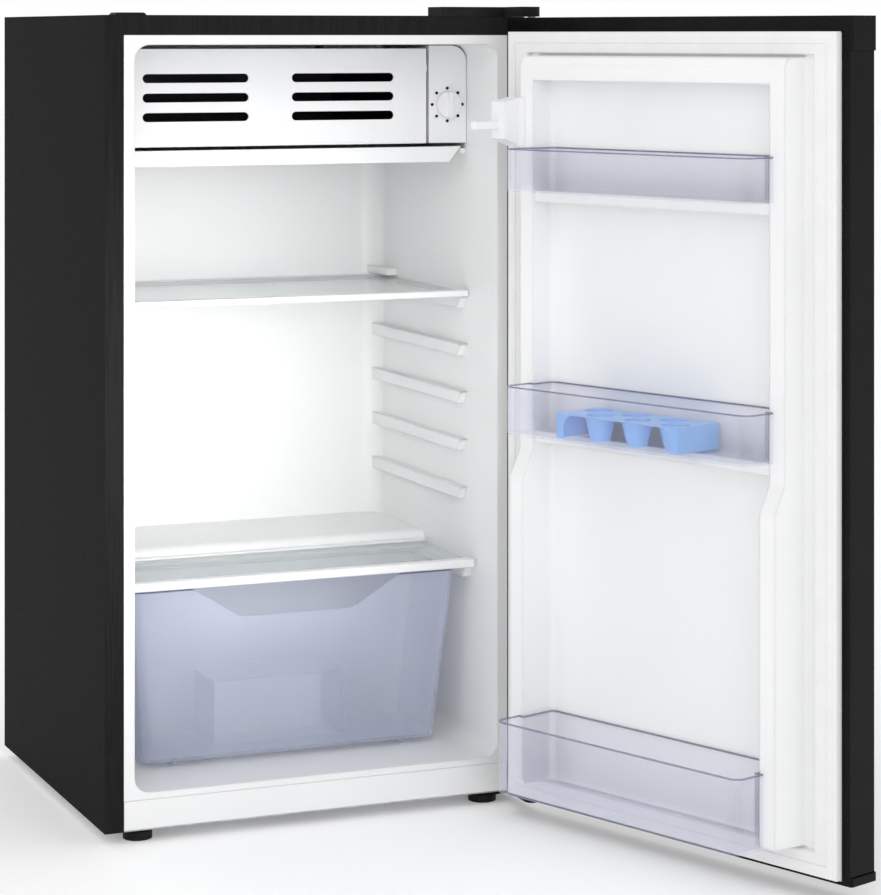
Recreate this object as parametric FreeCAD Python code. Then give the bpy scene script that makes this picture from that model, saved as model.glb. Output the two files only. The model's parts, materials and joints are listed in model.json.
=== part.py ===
"""A compact refrigerator with a chiller box at its top and three clear bins on its door.

Millimetres, +Z up, front towards -Y, hinges on the +X side. The origin is on the floor, midway between
the four feet. Everything on the door is built with the door shut, then turned open about the hinge line.
"""
import FreeCAD
import Part
import math
import os

# Cabinet
cabinet_width = 465.0
cabinet_depth = 405.0
cabinet_bottom = 12.0
cabinet_top = 840.0
steel = 0.8
base_steel = 1.2
flange_width = 20.0
side_insulation = 31.5
roof_insulation = 30.5
back_insulation = 57.5
floor_height = 50.0
liner_wall = 1.5
liner_lip = 11.5
plinth_thickness = 4.5
opening_radius = 16.0
rear_corner_radius = 24.0
hump_depth = 145.0
hump_top = 260.0
hump_radius = 10.0
bay_side_insulation = 14.9
bay_front_insulation = 42.7
bay_roof_insulation = 37.7

# Supports moulded into the liner
rib_reach = 9.0
rib_height = 13.0
rib_pitch = 52.0
rib_front = 80.0
shelf_room = 168.0
lowest_level_gap = 60.0
cover_drop = 17.3
keeper_length = 62.0
keeper_height = 8.0
rail_height = 6.0

# Feet
foot_radius = 15.0
foot_pad = 8.8
foot_chamfer = 0.4
foot_inset_x = 40.5
foot_inset_y = 20.5
stud_radius = 4.0
stud_top = 26.0
nut_radius = 8.0
nut_height = 6.8
thread_gap = 0.08

# Chiller box and its flap
chiller_room = 107.5
flap_thickness = 12.0
flap_wall = 2.5
flap_setback = 82.5
flap_top_gap = 4.5
flap_control_gap = 3.5
flap_side_gap = 11.0
slot_length = 117.0
slot_height = 9.4
slot_pitch = 20.4
slot_rows = 3
slot_left_margin = 22.4
slot_right_margin = 38.0
slot_rise = 31.2
pivot_radius = 2.5
pivot_gap = 0.06
evaporator_wall = 1.5
evaporator_radius = 8.0
evaporator_roof_gap = 9.5
evaporator_control_gap = 15.0
evaporator_floor_gap = 1.5
evaporator_side_gap = 3.0
evaporator_front_gap = 6.0
evaporator_rear_gap = 17.0
tray_height = 17.0
tray_wall = 2.0
tray_lip = 4.0
control_width = 44.5
control_wall = 2.0
control_depth = 70.0
control_radius = 18.0
knob_radius = 14.0
knob_length = 12.0
spindle_radius = 3.0

# Shelves and crisper
glass = 4.0
shelf_height = 7.0
shelf_setback = 74.5
cover_height = 9.0
cover_setback = 52.5
trim_width = 12.0
shelf_side_gap = 1.5
shelf_rear_gap = 19.0
drawer_head_gap = 2.7
drawer_floor_gap = 7.0
drawer_wall = 2.5
drawer_side_room = 36.0
drawer_taper = 36.0
drawer_top_setback = 67.5
drawer_lean = 16.0
drawer_radius = 14.0
drawer_rear_gap = 8.0
scallop_width = 238.0
scallop_floor_width = 126.0
scallop_depth = 34.0
alcove_width = 150.0
alcove_depth = 66.0
alcove_height = 71.0
runner_width = 8.0

# Door
open_angle = 110.0
hinge_inset = 9.0
hinge_to_liner = 28.5
door_thickness = 38.0
door_bottom = 20.0
door_gap_top = 2.0
cap_overhang = 2.0
cap_wall = 2.5
cap_radius = 3.0
skin_return = 11.0
liner_overlap = 5.0
top_cap_height = 33.0
bottom_cap_height = 8.0
door_liner_wall = 1.5
gasket_inset = 5.0
gasket_side_inset = 11.5
gasket_width = 28.0
gasket_end_width = 22.0
gasket_height = 7.9
gasket_gap = 0.6
gasket_lip_width = 11.5
gasket_flap = 7.3
gasket_gap_top = 15.0
magnet_width = 6.0
magnet_thickness = 3.0
dyke_inset = 54.0
dyke_width = 19.0
dyke_height = 32.5
low_dyke_height = 47.0
dyke_bottom_inset = 32.0
dyke_top_inset = 41.0
dyke_step_drop = 445.0
dyke_step_height = 27.0
recess_depth = 4.5
recess_radius = 6.0
recess_top_inset = 65.0
ledge_depth = 25.0
ledge_height = 12.0
bin_wall = 2.2
bin_gap = 0.4
bin_ear = 6.5
bin_radius = 12.0
bumper_width = 20.0
bumper_height = 46.0
bumper_reach = 84.0
bumper_drop = 133.0
peg_width = 7.5
peg_reach = 117.0

# Egg tray, in the middle bin
egg_tray_length = 163.0
egg_tray_width = 60.0
egg_tray_start = 134.0
egg_cup_radius = 16.0
egg_cup_depth = 24.0
egg_cups = 6
egg_wall = 1.5
egg_leg = 9.0
egg_leg_arch = 14.0

# Hinges
pin_radius = 4.0
pin_gap = 0.06
bush_radius = 6.0
bush_length = 16.0
plate_steel = 2.5
low_plate_steel = 3.0
low_plate_depth = 48.0
low_plate_setback = 2.0
low_tongue_half = 7.5
screw_radius = 2.4
screw_head_radius = 4.5
screw_head = 2.5
hinge_pocket = 1.0
hinge_plate_width = 82.5
hinge_plate_depth = 32.0
hinge_tongue_radius = 6.0
hinge_cover_width = 95.5
hinge_cover_height = 10.5
hinge_cover_wall = 1.8
tongue_half = 13.0
plug_inset = 12.0
plug_width = 32.5
plug_depth = 24.0
plug_height = 2.6

# Cooling system
compressor_radius = 60.0
pot_lift = 5.8
compressor_height = 145.0
compressor_x = -40.0
compressor_setback = 80.5
grommet_radius = 10.0
grommet_height = 12.0
mount_plate = 3.0
mount_half_x = 82.0
mount_half_y = 42.0
condenser_head_gap = 82.0
condenser_pitch = 49.0
condenser_side_gap = 60.5
condenser_lift = 8.0
condenser_tube_radius = 2.5
condenser_gap = 9.0
condenser_wires = 24
wire_radius = 0.8
suction_radius = 4.0
capillary_radius = 1.2
drier_radius = 9.0
drier_length = 70.0
drier_low = 80.0
drier_inset = 96.8
gland_radius = 8.0
gland_bore = 4.0
gland_length = 14.0

# Places that follow from the sizes above
half_width = cabinet_width / 2
front = -cabinet_depth / 2
back = cabinet_depth / 2
room_half = half_width - side_insulation
room_back = back - back_insulation
room_top = cabinet_top - roof_insulation
base_top = cabinet_bottom + base_steel
hump_front = room_back - hump_depth
bay_front = hump_front + liner_wall + bay_front_insulation
bay_half = half_width - steel - bay_side_insulation
bay_top = hump_top - liner_wall - bay_roof_insulation
lip_half = room_half + liner_lip
lip_top = room_top + liner_lip - liner_wall
lip_bottom = floor_height - liner_lip + 4.5
hinge_x = half_width - hinge_inset
hinge_reach = hinge_to_liner + door_liner_wall + gasket_height + gasket_gap
hinge_y = front - hinge_reach
door_far = cabinet_width - hinge_inset
door_near = -hinge_inset
door_back = hinge_to_liner
door_front = door_back - door_thickness
door_top = cabinet_top - door_gap_top
pocket_floor = cabinet_top - hinge_pocket
foot_x = half_width - foot_inset_x
foot_y = back - foot_inset_y
flap_front = front + flap_setback
chiller_bottom = room_top - chiller_room
control_left = room_half - control_width
control_top = room_top - 1.0
flap_left = -room_half + flap_side_gap
flap_right = control_left - flap_control_gap
flap_height = chiller_room - flap_top_gap
slot_starts = (flap_left + slot_left_margin, flap_right - slot_right_margin - slot_length)
evaporator_left = flap_left + evaporator_side_gap
evaporator_right = flap_right - evaporator_control_gap
evaporator_bottom = chiller_bottom + evaporator_floor_gap
evaporator_top = evaporator_bottom + chiller_room - evaporator_roof_gap
evaporator_front = flap_front + flap_thickness + evaporator_front_gap
evaporator_rear = room_back - evaporator_rear_gap
tray_top = chiller_bottom - 3.5
shelf_level = chiller_bottom - shelf_room
cover_level = hump_top - cover_drop
empty_levels = int((shelf_level - cover_level - lowest_level_gap) / rib_pitch)
drawer_top = cover_level - drawer_head_gap
drawer_bottom = floor_height + drawer_floor_gap
drawer_top_width = 2 * room_half - drawer_side_room
drawer_bottom_width = drawer_top_width - drawer_taper
hinge_plate_left = half_width - hinge_plate_width
hinge_cover_left = half_width - hinge_cover_width
liner_plate_top = door_top - gasket_gap_top - 1
dyke_bottom = door_bottom + dyke_bottom_inset
dyke_top = door_top - dyke_top_inset
recess_top = door_top - recess_top_inset
dyke_step_high = door_top - dyke_step_drop
dyke_step_low = dyke_step_high - dyke_step_height
bumper_bottom = door_top - bumper_drop
compressor_low = base_top + grommet_height + mount_plate + pot_lift
compressor_y = back - compressor_setback
condenser_half_width = half_width - condenser_side_gap
condenser_bottom = hump_top + condenser_lift
condenser_loops = int((cabinet_top - condenser_bottom - condenser_head_gap) / condenser_pitch / 2)
condenser_rows = 2 * condenser_loops + 1
bins = {
    "door_bin_top": {"floor": door_top - 178.0, "height": 43.7, "reach": 100.0, "crest": dyke_height},
    "door_bin_middle": {"floor": door_top - 425.0, "height": 48.7, "reach": 100.0, "crest": dyke_height},
    "door_bin_bottom": {"floor": dyke_bottom - 2.0, "height": 72.0, "reach": 112.0, "crest": low_dyke_height},
}

X = (1, 0, 0)
Y = (0, 1, 0)
Z = (0, 0, 1)


def box(x0, x1, y0, y1, z0, z1):
    return Part.makeBox(x1 - x0, y1 - y0, z1 - z0, FreeCAD.Vector(x0, y0, z0))


def rod(radius, start, end):
    """A round bar between two points."""
    start = FreeCAD.Vector(*start)
    run = FreeCAD.Vector(*end) - start
    return Part.makeCylinder(radius, run.Length, start, run)


def ring(outer, inner, start, end):
    return rod(outer, start, end).cut(rod(inner, start, end))


def prism(points, reach):
    """A flat outline pushed along a straight reach."""
    corners = [FreeCAD.Vector(*point) for point in points]
    outline = Part.makePolygon(corners + corners[:1])
    return Part.Face(outline).extrude(FreeCAD.Vector(*reach))


def round_edges(solid, radius, along, where=lambda middle: True):
    """The solid with its straight edges that run along an axis rounded, where their middles are chosen."""
    picked = []
    for edge in solid.Edges:
        straight = edge.Curve.TypeId == "Part::GeomLine"
        if straight and abs(edge.tangentAt(edge.FirstParameter).dot(FreeCAD.Vector(*along))) > 0.999:
            if where(edge.CenterOfMass):
                picked.append(edge)
    return solid.makeFillet(radius, picked)


def join(solids):
    """One solid made of several that touch or overlap."""
    return solids[0].multiFuse(solids[1:]).removeSplitter()


def group(solids):
    """Separate solids kept as one piece of the list."""
    return Part.makeCompound(solids)


def both_sides(solid):
    """A solid and its mirror image across the cabinet's middle."""
    return [solid, solid.mirror(FreeCAD.Vector(0, 0, 0), FreeCAD.Vector(1, 0, 0))]


def rounded_rectangle(half_x, y0, y1, z, radius):
    """A level closed outline with round corners, centred on x = 0."""
    x = half_x - radius
    corners = [(x, y0 + radius, -90), (x, y1 - radius, 0), (-x, y1 - radius, 90), (-x, y0 + radius, 180)]
    edges = []
    last = None
    for cx, cy, start in corners:
        arc = Part.makeCircle(radius, FreeCAD.Vector(cx, cy, z), FreeCAD.Vector(0, 0, 1), start, start + 90)
        if last:
            edges.append(Part.makeLine(last, arc.firstVertex().Point))
        edges.append(arc)
        last = arc.lastVertex().Point
    edges.append(Part.makeLine(last, edges[0].firstVertex().Point))
    return Part.Wire(edges)


def pipe(points, radius, bend):
    """A tube along straight runs that are joined by arcs of one bend radius."""
    corners = [FreeCAD.Vector(*point) for point in points]
    edges = []
    here = corners[0]
    for before, corner, after in zip(corners, corners[1:], corners[2:]):
        into = (corner - before).normalize()
        out = (after - corner).normalize()
        turn = into.getAngle(out)
        cut = bend * math.tan(turn / 2)
        start = corner - into * cut
        end = corner + out * cut
        inward = (out - into).normalize()
        middle = corner + inward * (bend / math.cos(turn / 2) - bend)
        edges.append(Part.LineSegment(here, start).toShape())
        edges.append(Part.Arc(start, middle, end).toShape())
        here = end
    edges.append(Part.LineSegment(here, corners[-1]).toShape())
    section = Part.Wire(Part.makeCircle(radius, corners[0], corners[1] - corners[0]))
    return Part.Wire(edges).makePipeShell([section], True, True)


# Cabinet

def hinge_pockets():
    """Shallow pressed seats in the top for the hinge cover and for the plug on the other side."""
    hinge_seat = box(hinge_cover_left - 1, half_width, front, front + hinge_plate_depth + 8,
                     pocket_floor, cabinet_top)
    plug_left = -half_width + plug_inset
    plug_seat = box(plug_left - 0.5, plug_left + plug_width + 0.5, front + 2, front + plug_depth + 3,
                    pocket_floor, cabinet_top)
    return hinge_seat, plug_seat


def top_screw_places():
    y = front + hinge_plate_depth / 2 + 6
    return [(hinge_plate_left + 14, y), ((hinge_plate_left + half_width) / 2, y), (half_width - 16, y)]


def low_screw_places():
    return [(half_width - 10, front + 12), (half_width - 10, front + 38)]


def foot_places():
    return [(sx * foot_x, sy * foot_y) for sy in (-1, 1) for sx in (-1, 1)]


def screw_shanks():
    shanks = [rod(screw_radius, (x, y, cabinet_top - 14), (x, y, pocket_floor + plate_steel))
              for x, y in top_screw_places()]
    shanks += [rod(screw_radius, (x, y, cabinet_bottom - low_plate_steel), (x, y, cabinet_bottom + 16))
               for x, y in low_screw_places()]
    return shanks


def cavity(grow):
    """The room inside the liner, or the liner's outer face when grown by its wall."""
    half = room_half + grow
    room = box(-half, half, front, room_back + grow, floor_height - grow, room_top + grow)
    room = round_edges(room, opening_radius + grow, Y)
    room = round_edges(room, rear_corner_radius + grow, Z, lambda middle: middle.y > 0)
    hump = box(-half - 1, half + 1, hump_front + grow, back, floor_height - 60, hump_top - grow)
    hump = round_edges(hump, hump_radius, X, lambda middle: middle.y < room_back and middle.z > floor_height)
    return room.cut(hump)


def cabinet_shell():
    """The folded steel wrapper: sides, top and the narrow flange round the front."""
    outer = box(-half_width, half_width, front, back, cabinet_bottom, cabinet_top)
    inner = box(-half_width + steel, half_width - steel, front + steel, back,
                cabinet_bottom, cabinet_top - steel)
    window = box(-half_width + flange_width, half_width - flange_width, front, front + steel,
                 cabinet_bottom, lip_top)
    shell = outer.cut(inner).cut(window)
    for seat in hinge_pockets():
        bounds = seat.BoundBox
        pressed = box(bounds.XMin - steel, bounds.XMax, bounds.YMin - steel, bounds.YMax + steel,
                      pocket_floor - steel, cabinet_top - steel)
        shell = shell.fuse(pressed.common(outer)).cut(seat)
    return shell.cut(group(screw_shanks()))


def plinth_strip():
    return box(-half_width + flange_width, half_width - flange_width, front, front + plinth_thickness,
               base_top, lip_bottom)


def base_plate():
    plate = box(-half_width + steel, half_width - steel, front + steel, back, cabinet_bottom, base_top)
    holes = [rod(stud_radius + 0.4, (x, y, cabinet_bottom), (x, y, base_top)) for x, y in foot_places()]
    return plate.cut(group(holes)).cut(group(screw_shanks()))


def bay(grow):
    """The space at the lower back for the compressor, or the outer face of its lining."""
    return box(-bay_half - grow, bay_half + grow, bay_front - grow, back - steel,
               base_top, bay_top + grow)


def back_panel():
    panel = box(-half_width + steel, half_width - steel, back - steel, back, base_top, cabinet_top - steel)
    window = box(-bay_half, bay_half, back - steel, back, base_top, bay_top)
    return panel.cut(window)


def liner_lip_ring():
    return box(-lip_half, lip_half, front, front + liner_wall, lip_bottom, lip_top)


def liner_ribs():
    """Shelf ribs, chiller tray rails and rear shelf keepers on both side walls."""
    start = front + rib_front
    end = room_back
    x = room_half - rib_reach
    reach = (rib_reach + liner_wall / 2, 0, 0)
    levels = [shelf_level - step * rib_pitch for step in range(empty_levels + 1)]
    pieces = []
    for level in levels:
        low = level - rib_height
        pieces.append(prism([(x, start, level), (x, end, level), (x, end, low), (x, start + 9, low)], reach))
    low = cover_level - rib_height
    cover_start = front + cover_setback + 12
    pieces.append(prism([(x, cover_start, cover_level), (x, hump_front, cover_level),
                         (x, hump_front, low), (x, cover_start + 9, low)], reach))
    shelf_top = shelf_level + shelf_height + 1
    pieces.append(box(x - 5, room_half + liner_wall / 2, end - keeper_length, end,
                      shelf_top, shelf_top + keeper_height))
    rail_top = tray_top - tray_wall - 0.3
    pieces.append(box(room_half - 7, room_half + liner_wall / 2, flap_front + 4, end,
                      rail_top - rail_height, rail_top))
    bounds = cavity(liner_wall / 2)
    return [rib.common(bounds) for piece in pieces for rib in both_sides(piece)]


def inner_liner(lines):
    walls = join([cavity(liner_wall), liner_lip_ring()]).cut(cavity(0))
    return join([walls] + liner_ribs()).cut(group(lines))


def cabinet_foam(lines):
    foam = box(-half_width + steel, half_width - steel, front + steel, back - steel,
               base_top, cabinet_top - steel)
    gone = [cavity(liner_wall), liner_lip_ring(), plinth_strip(), bay(steel)]
    for seat in hinge_pockets():
        bounds = seat.BoundBox
        gone.append(box(bounds.XMin - steel, bounds.XMax, bounds.YMin - steel, bounds.YMax + steel,
                        pocket_floor - steel, cabinet_top))
    for x, y in foot_places():
        gone.append(rod(nut_radius, (x, y, base_top), (x, y, stud_top + 2)))
    return foam.cut(gone + screw_shanks() + lines)


def weld_nuts():
    return group([ring(nut_radius, stud_radius + thread_gap, (x, y, base_top), (x, y, base_top + nut_height))
                  for x, y in foot_places()])


def foot(x, y):
    """A round levelling foot with its neck and threaded stud."""
    pad = rod(foot_radius, (x, y, 0), (x, y, foot_pad))
    pad = pad.makeChamfer(foot_chamfer, [edge for edge in pad.Edges if edge.CenterOfMass.z < 0.01])
    neck = rod(stud_radius + 2, (x, y, foot_pad), (x, y, cabinet_bottom - 0.1))
    return join([pad, neck, rod(stud_radius, (x, y, foot_pad), (x, y, stud_top))])


# Chiller box

def flap_pivot():
    return flap_left + 4.0, flap_front + flap_thickness - 6.0


def freezer_flap():
    """The chiller's hinged front: a hollow-backed panel with two stacks of round-ended slots."""
    top = chiller_bottom + flap_height
    rear = flap_front + flap_thickness
    panel = box(flap_left, flap_right, flap_front, rear, chiller_bottom, top)
    hollow = box(flap_left + 12, flap_right - flap_wall, flap_front + flap_wall, rear,
                 chiller_bottom + flap_wall, top - flap_wall)
    panel = panel.cut(hollow)
    radius = slot_height / 2
    slots = []
    for start in slot_starts:
        for row in range(slot_rows):
            z = chiller_bottom + slot_rise + row * slot_pitch
            left = (start + radius, flap_front - 1, z)
            right = (start + slot_length - radius, flap_front - 1, z)
            slots.append(box(left[0], right[0], flap_front - 1, rear, z - radius, z + radius))
            slots.append(rod(radius, left, (left[0], rear, z)))
            slots.append(rod(radius, right, (right[0], rear, z)))
    x, y = flap_pivot()
    bore = rod(pivot_radius + pivot_gap, (x, y, chiller_bottom), (x, y, top))
    catch = box(flap_right - 1, flap_right + 1.8, flap_front + 2, flap_front + 9, top - 26, top - 18)
    return join([panel, catch]).cut(slots + [bore])


def flap_hinge_brackets():
    """Lugs on the liner's left wall, each with a pivot pin that stands in the flap's bore."""
    x, y = flap_pivot()
    top = chiller_bottom + flap_height
    pieces = []
    for low, high, tip in ((chiller_bottom - 3.1, chiller_bottom - 0.3, chiller_bottom + 9),
                           (top + 0.3, room_top - 0.4, top - 9)):
        lug = box(-room_half + 0.2, x + 5, y - 5, y + 5, low, high)
        lug = lug.common(cavity(-0.2))
        pin = rod(pivot_radius, (x, y, (low + high) / 2), (x, y, tip))
        pieces.append(join([lug, pin]))
    return group(pieces)


def evaporator(lines):
    """The folded aluminium box that is open to the front."""
    wall = evaporator_wall
    outer = box(evaporator_left, evaporator_right, evaporator_front, evaporator_rear,
                evaporator_bottom, evaporator_top)
    inner = box(evaporator_left + wall, evaporator_right - wall, evaporator_front, evaporator_rear - wall,
                evaporator_bottom + wall, evaporator_top - wall)
    outer = round_edges(outer, evaporator_radius, Y)
    inner = round_edges(inner, evaporator_radius - wall, Y)
    return outer.cut(inner).cut(group(lines))


def evaporator_hangers():
    places = [(x, y) for x in (evaporator_left + 25, evaporator_right - 25)
              for y in (evaporator_front + 22, evaporator_rear - 23)]
    return group([rod(5, (x, y, evaporator_top), (x, y, room_top)) for x, y in places])


def drip_tray():
    """The shallow tray under the chiller, hung by its lips on the liner's rails."""
    low = tray_top - tray_height
    top_half = room_half - 9
    low_half = room_half - 23
    start = flap_front - 5
    end = room_back - 20

    def form(gap, top):
        return prism([(-top_half + gap, start + gap, top), (top_half - gap, start + gap, top),
                      (low_half - gap, start + gap, low + gap), (-low_half + gap, start + gap, low + gap)],
                     (0, end - start - 2 * gap, 0))

    body = form(0, tray_top).cut(form(tray_wall, tray_top + 0.01))
    lip_start = flap_front + 6
    lip = box(top_half - tray_wall, room_half - tray_lip, lip_start, end, tray_top - tray_wall, tray_top)
    return join([body] + both_sides(lip))


def thermostat_box():
    rear = flap_front + control_depth
    outer = box(control_left, room_half - 0.3, flap_front, rear, chiller_bottom, control_top)
    outer = round_edges(outer, control_radius, Y, lambda middle: middle.x > control_left + 9
                        and middle.z > chiller_bottom + 9)
    wall = control_wall
    inner = box(control_left + wall, room_half - 0.3 - wall, flap_front + wall, rear,
                chiller_bottom + wall, control_top - wall)
    inner = round_edges(inner, control_radius - wall, Y, lambda middle: middle.x > control_left + 9
                        and middle.z > chiller_bottom + 9)
    x, z = knob_centre()
    hole = rod(spindle_radius + 3, (x, flap_front - 1, z), (x, flap_front + wall + 1, z))
    sensor_hole = rod(capillary_radius + 0.3, (control_left - 1, sensor_y(), z),
                      (control_left + 5, sensor_y(), z))
    return outer.cut([inner, hole, sensor_hole])


def knob_centre():
    return control_left + control_width / 2 - 1, chiller_bottom + 42.0


def sensor_y():
    return flap_front + control_depth - 15


def thermostat_body():
    """The switch behind the knob: a metal can with its threaded neck."""
    x, z = knob_centre()
    can = box(x - 11, x + 11, flap_front + 7, flap_front + 38, z - 14, z + 14)
    neck = ring(spindle_radius + 3, spindle_radius + pivot_gap, (x, flap_front, z), (x, flap_front + 7, z))
    bore = rod(spindle_radius + pivot_gap, (x, flap_front + 7, z), (x, flap_front + 22, z))
    return join([can.cut(bore), neck])


def thermostat_knob():
    x, z = knob_centre()
    front_face = flap_front - 0.5 - knob_length
    dial = rod(knob_radius, (x, flap_front - 0.5, z), (x, front_face + 6, z))
    grip = box(x - 2.2, x + 2.2, front_face, front_face + 7, z - knob_radius + 0.5, z + knob_radius - 0.5)
    spindle = rod(spindle_radius, (x, flap_front - 0.5, z), (x, flap_front + 20, z))
    return join([dial, grip, spindle])


def sensor_tube():
    """The thin sensing tube from the thermostat to the side of the evaporator."""
    x, z = knob_centre()
    y = sensor_y()
    points = [(x, flap_front + 38, z), (x, y, z), (evaporator_right + 0.1, y, z)]
    return pipe(points, capillary_radius, 8)


# Shelves and crisper

def framed_glass(level, height, setback, end, half):
    """A glass plate with a plastic trim along its front and rear edges."""
    start = front + setback
    z = level + (height - glass) / 2
    plate = box(-half + 1, half - 1, start + 3, end - 3, z, z + glass)
    front_trim = box(-half, half, start, start + trim_width, level, level + height)
    front_trim = round_edges(front_trim, 2, X, lambda middle: middle.y < start + 1)
    rear_trim = box(-half, half, end - trim_width + 4, end, level, level + height)
    return plate, front_trim.cut(plate), rear_trim.cut(plate)


def crisper_drawer():
    """A clear tapered drawer with a scalloped front edge and a boxed-in step at its rear."""
    top_front = front + drawer_top_setback
    low_front = top_front + drawer_lean
    rear = hump_front - drawer_rear_gap
    wall = drawer_wall

    def form(gap, z_low, z_high):
        low = rounded_rectangle(drawer_bottom_width / 2 - gap, low_front + gap, rear - gap, z_low,
                                drawer_radius - gap)
        high = rounded_rectangle(drawer_top_width / 2 - gap, top_front + gap, rear - gap, z_high,
                                 drawer_radius - gap)
        return Part.makeLoft([low, high], True, True)

    scallop = prism([(-scallop_width / 2, top_front - 5, drawer_top + 1),
                     (scallop_width / 2, top_front - 5, drawer_top + 1),
                     (scallop_floor_width / 2, top_front - 5, drawer_top - scallop_depth),
                     (-scallop_floor_width / 2, top_front - 5, drawer_top - scallop_depth)],
                    (0, drawer_radius + 10, 0))
    alcove = box(-alcove_width / 2, alcove_width / 2, rear - alcove_depth, rear,
                 drawer_bottom, drawer_bottom + alcove_height)
    alcove_hollow = box(-alcove_width / 2 + wall, alcove_width / 2 - wall, rear - alcove_depth + wall,
                        rear, drawer_bottom, drawer_bottom + alcove_height - wall)
    shell = form(0, drawer_bottom, drawer_top).cut(form(wall, drawer_bottom + wall, drawer_top))
    runner = box(drawer_bottom_width / 2 - 40, drawer_bottom_width / 2 - 40 + runner_width,
                 low_front + 10, rear - 10, floor_height + 0.3, drawer_bottom + 0.5)
    return join([shell.cut(scallop), alcove] + both_sides(runner)).cut(alcove_hollow)


# Door, in door terms: u runs from the hinge line to the free edge, v from the hinge line into the room

def door_box(u0, u1, v0, v1, z0, z1):
    return box(hinge_x - u1, hinge_x - u0, hinge_y + v0, hinge_y + v1, z0, z1)


def hinge_rod(radius, z0, z1):
    return rod(radius, (hinge_x, hinge_y, z0), (hinge_x, hinge_y, z1))


def door_form(gap):
    """The liner's raised ring of dykes with the bin ledges, or the foam behind it when given the wall."""
    near = door_near + dyke_inset
    far = door_far - dyke_inset
    base = door_back
    low_crest = base + low_dyke_height - gap
    crest = base + dyke_height - gap
    side = [(base, dyke_bottom - 2 + gap), (low_crest - 3, dyke_bottom + gap), (low_crest, dyke_bottom + 5),
            (low_crest, dyke_step_low), (crest, dyke_step_high), (crest, dyke_top - 8),
            (crest - 5, dyke_top - gap), (base, dyke_top + 2 - gap)]
    points = [(hinge_x - far + gap, hinge_y + v, z) for v, z in side]
    form = prism(points, (far - near - 2 * gap, 0, 0))
    inner_near = near + dyke_width - gap
    inner_far = far - dyke_width + gap
    recess = door_box(inner_near, inner_far, base + recess_depth - gap, base + 90,
                      dyke_bottom - 5, recess_top + gap)
    form = form.cut(round_edges(recess, recess_radius, Z, lambda middle: middle.y < hinge_y + base + 20))
    ledges = []
    for bin_sizes in bins.values():
        high = bin_sizes["floor"] - gap
        low = max(high - ledge_height + 2 * gap, dyke_bottom - 2 + gap)
        if high - low > 1:
            ledges.append(door_box(inner_near - 1, inner_far + 1, base,
                                   base + recess_depth + ledge_depth - gap, low, high))
    return join([form] + ledges)


def door_skin():
    """The steel front of the door with its sides and the narrow return behind them."""
    u0 = door_near + cap_overhang
    u1 = door_far - cap_overhang
    v0 = door_front + cap_overhang
    z0 = door_bottom + bottom_cap_height
    z1 = door_top - top_cap_height
    outer = door_box(u0, u1, v0, door_back, z0, z1)
    inner = door_box(u0 + steel, u1 - steel, v0 + steel, door_back - steel, z0, z1)
    window = door_box(u0 + skin_return, u1 - skin_return, door_back - steel, door_back, z0, z1)
    return outer.cut(inner).cut(window)


def door_cap(z0, z1, wall_z0, wall_z1):
    """A moulded end cap: a hollow shell that the foam fills, with a back wall beyond the liner's edge."""
    outer = door_box(door_near, door_far, door_front, door_back, z0, z1)
    outer = round_edges(outer, cap_radius, Z)
    inner = door_box(door_near + cap_wall, door_far - cap_wall, door_front + cap_wall,
                     door_back - cap_wall, wall_z0, wall_z1)
    window = door_box(door_near + cap_overhang + skin_return, door_far - cap_overhang - skin_return,
                      door_back - cap_wall, door_back, wall_z0,
                      min(wall_z1, liner_plate_top - liner_overlap))
    return outer.cut([inner, window])


def door_top_cap():
    low = door_top - top_cap_height
    cap = door_cap(low, door_top, low, door_top - cap_wall)
    return cap.cut(cap_bore(door_top - bush_length, door_top))


def door_bottom_cap():
    high = door_bottom + bottom_cap_height
    outer = round_edges(door_box(door_near, door_far, door_front, door_back, door_bottom, high),
                        cap_radius, Z)
    inner = door_box(door_near + cap_wall, door_far - cap_wall, door_front + cap_wall,
                     door_back - cap_wall, door_bottom + cap_wall, high)
    return outer.cut([inner, cap_bore(door_bottom, door_bottom + bush_length)])


def cap_bore(z0, z1):
    return hinge_rod(bush_radius, z0, z1)


def door_foam():
    """Foam that fills the skin, both caps and the liner's dykes, less the pin bushes' bores."""
    near = door_near + cap_wall
    far = door_far - cap_wall
    skin = door_skin()
    bounds = skin.BoundBox
    core = door_box(near, far, door_front + cap_wall, door_back - cap_wall,
                    door_bottom + cap_wall, door_top - cap_wall)
    between_caps = door_box(near, far, door_back - cap_wall, door_back, bounds.ZMin, bounds.ZMax)
    window = door_box(door_near + cap_overhang + skin_return, door_far - cap_overhang - skin_return,
                      door_back - cap_wall, door_back, bounds.ZMax - 1, liner_plate_top - liner_overlap)
    edge = cap_overhang + steel
    sides = [door_box(u0, u1, door_front, door_back, bounds.ZMin, bounds.ZMax)
             for u0, u1 in ((near - 1, door_near + edge), (door_far - edge, far + 1))]
    foam = join([core, between_caps, window]).cut(sides)
    bores = [cap_bore(door_bottom, door_bottom + bush_length), cap_bore(door_top - bush_length, door_top)]
    return join([foam, door_form(door_liner_wall)]).cut([skin] + bores)


def door_liner():
    """The vacuum-formed white inner face with its dykes, recess and ledges."""
    plate = door_box(door_near + gasket_side_inset, door_far - gasket_side_inset, door_back,
                     door_back + door_liner_wall, door_bottom + 4, liner_plate_top)
    form = door_form(0)
    hollow = door_form(door_liner_wall)
    return join([plate, form]).cut(hollow)


def gasket_ring(inset, width, end_width, v0, v1):
    """A square-section frame that follows the door's edge."""
    u0 = door_near + gasket_side_inset + inset
    u1 = door_far - gasket_side_inset - inset
    z0 = door_bottom + gasket_inset + inset
    z1 = door_top - gasket_gap_top - inset
    outer = door_box(u0, u1, v0, v1, z0, z1)
    return outer.cut(door_box(u0 + width, u1 - width, v0, v1, z0 + end_width, z1 - end_width))


def gasket_base():
    return door_back + door_liner_wall


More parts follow.
